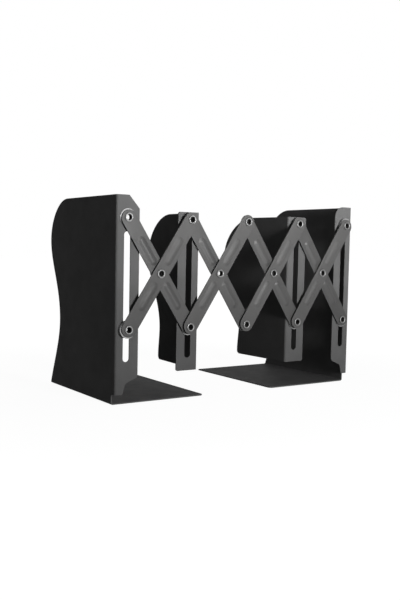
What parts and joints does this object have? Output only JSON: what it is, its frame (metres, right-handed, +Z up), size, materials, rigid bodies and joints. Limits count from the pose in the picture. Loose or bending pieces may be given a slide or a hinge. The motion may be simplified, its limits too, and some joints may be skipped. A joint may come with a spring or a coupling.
{
  "type": "extending desktop book rack",
  "caption": "Extending book rack: two L-shaped sheet-metal ends on a riveted lazy-tongs linkage, with hanging dividers between them.",
  "frame": {"origin": "middle of the rack on the desk, at rest: half way between the outer faces of the two end plates, and half way from the front rivet heads to the back of the plates", "axes": "+X along the way that the rack extends, to the right as seen from the linkage side; +Y from the linkage to the open back; +Z up"},
  "size_m": [0.2864, 0.1494, 0.19],
  "materials": {
    "end_plate": "fine-textured matt black powder coat",
    "divider": "fine-textured matt black powder coat",
    "front_bar": "satin gunmetal grey coat",
    "back_bar": "satin gunmetal grey coat",
    "rivet": "rolled bright steel, worn on the rim",
    "washer": "bright zinc-plated steel"
  },
  "bodies": {
    "left_end": {"left_end_plate": "end_plate", "top_rivet_1": "rivet", "top_washer_1": "washer"},
    "back_bar_1": {"back_bar_1": "back_bar", "centre_rivet_1": "rivet", "bottom_rivet_2": "rivet", "bottom_washer_2": "washer", "slide_washer_2": "washer"},
    "front_bar_1": {"front_bar_1": "front_bar", "top_rivet_2": "rivet", "top_washer_2": "washer", "bottom_rivet_1": "rivet", "bottom_spacer_1": "washer", "slide_washer_1": "washer"},
    "left_divider": {"left_divider": "divider"},
    "back_bar_2": {"back_bar_2": "back_bar", "centre_rivet_2": "rivet", "bottom_rivet_3": "rivet"},
    "front_bar_2": {"front_bar_2": "front_bar", "top_rivet_3": "rivet"},
    "back_bar_3": {"back_bar_3": "back_bar", "centre_rivet_3": "rivet", "bottom_rivet_4": "rivet", "bottom_washer_4": "washer", "slide_washer_4": "washer"},
    "front_bar_3": {"front_bar_3": "front_bar", "top_rivet_4": "rivet", "top_washer_4": "washer"},
    "right_divider": {"right_divider": "divider"},
    "back_bar_4": {"back_bar_4": "back_bar", "centre_rivet_4": "rivet", "bottom_rivet_5": "rivet", "bottom_washer_5": "washer", "slide_washer_5": "washer"},
    "front_bar_4": {"front_bar_4": "front_bar", "top_rivet_5": "rivet", "top_spacer_5": "washer"},
    "right_end": {"right_end_plate": "end_plate"}
  },
  "joints": [
    {"name": "extend", "type": "hinge", "parent": "left_end", "child": "back_bar_1", "pos_m": [-0.132, -0.06875, 0.17], "axis": [0, -1, 0], "range_deg": [-11, 48.8]},
    {"name": "crossing_1", "type": "hinge", "parent": "back_bar_1", "child": "front_bar_1", "pos_m": [-0.099, -0.06875, 0.11953], "axis": [0, -1, 0], "range_deg": [-97.6, 22]},
    {"name": "left_divider_hanger", "type": "hinge", "parent": "front_bar_1", "child": "left_divider", "pos_m": [-0.066, -0.06875, 0.17], "axis": [0, -1, 0], "range_deg": [-11, 48.8]},
    {"name": "top_pivot_2", "type": "hinge", "parent": "front_bar_1", "child": "back_bar_2", "pos_m": [-0.066, -0.06875, 0.17], "axis": [0, -1, 0], "range_deg": [-22, 97.6]},
    {"name": "crossing_2", "type": "hinge", "parent": "back_bar_2", "child": "front_bar_2", "pos_m": [-0.033, -0.06875, 0.11953], "axis": [0, -1, 0], "range_deg": [-97.6, 22]},
    {"name": "top_pivot_3", "type": "hinge", "parent": "front_bar_2", "child": "back_bar_3", "pos_m": [0, -0.06875, 0.17], "axis": [0, -1, 0], "range_deg": [-22, 97.6]},
    {"name": "crossing_3", "type": "hinge", "parent": "back_bar_3", "child": "front_bar_3", "pos_m": [0.033, -0.06875, 0.11953], "axis": [0, -1, 0], "range_deg": [-97.6, 22]},
    {"name": "right_divider_hanger", "type": "hinge", "parent": "front_bar_3", "child": "right_divider", "pos_m": [0.066, -0.06875, 0.17], "axis": [0, -1, 0], "range_deg": [-11, 48.8]},
    {"name": "top_pivot_4", "type": "hinge", "parent": "front_bar_3", "child": "back_bar_4", "pos_m": [0.066, -0.06875, 0.17], "axis": [0, -1, 0], "range_deg": [-22, 97.6]},
    {"name": "crossing_4", "type": "hinge", "parent": "back_bar_4", "child": "front_bar_4", "pos_m": [0.099, -0.06875, 0.11953], "axis": [0, -1, 0], "range_deg": [-97.6, 22]},
    {"name": "right_end_hanger", "type": "hinge", "parent": "front_bar_4", "child": "right_end", "pos_m": [0.132, -0.06875, 0.17], "axis": [0, -1, 0], "range_deg": [-11, 48.8]}
  ],
  "couplings": [
    {"joint": "crossing_1", "follows": "extend", "ratio": -2},
    {"joint": "left_divider_hanger", "follows": "extend", "ratio": 1},
    {"joint": "top_pivot_2", "follows": "extend", "ratio": 2},
    {"joint": "crossing_2", "follows": "extend", "ratio": -2},
    {"joint": "top_pivot_3", "follows": "extend", "ratio": 2},
    {"joint": "crossing_3", "follows": "extend", "ratio": -2},
    {"joint": "right_divider_hanger", "follows": "extend", "ratio": 1},
    {"joint": "top_pivot_4", "follows": "extend", "ratio": 2},
    {"joint": "crossing_4", "follows": "extend", "ratio": -2},
    {"joint": "right_end_hanger", "follows": "extend", "ratio": 1}
  ]
}
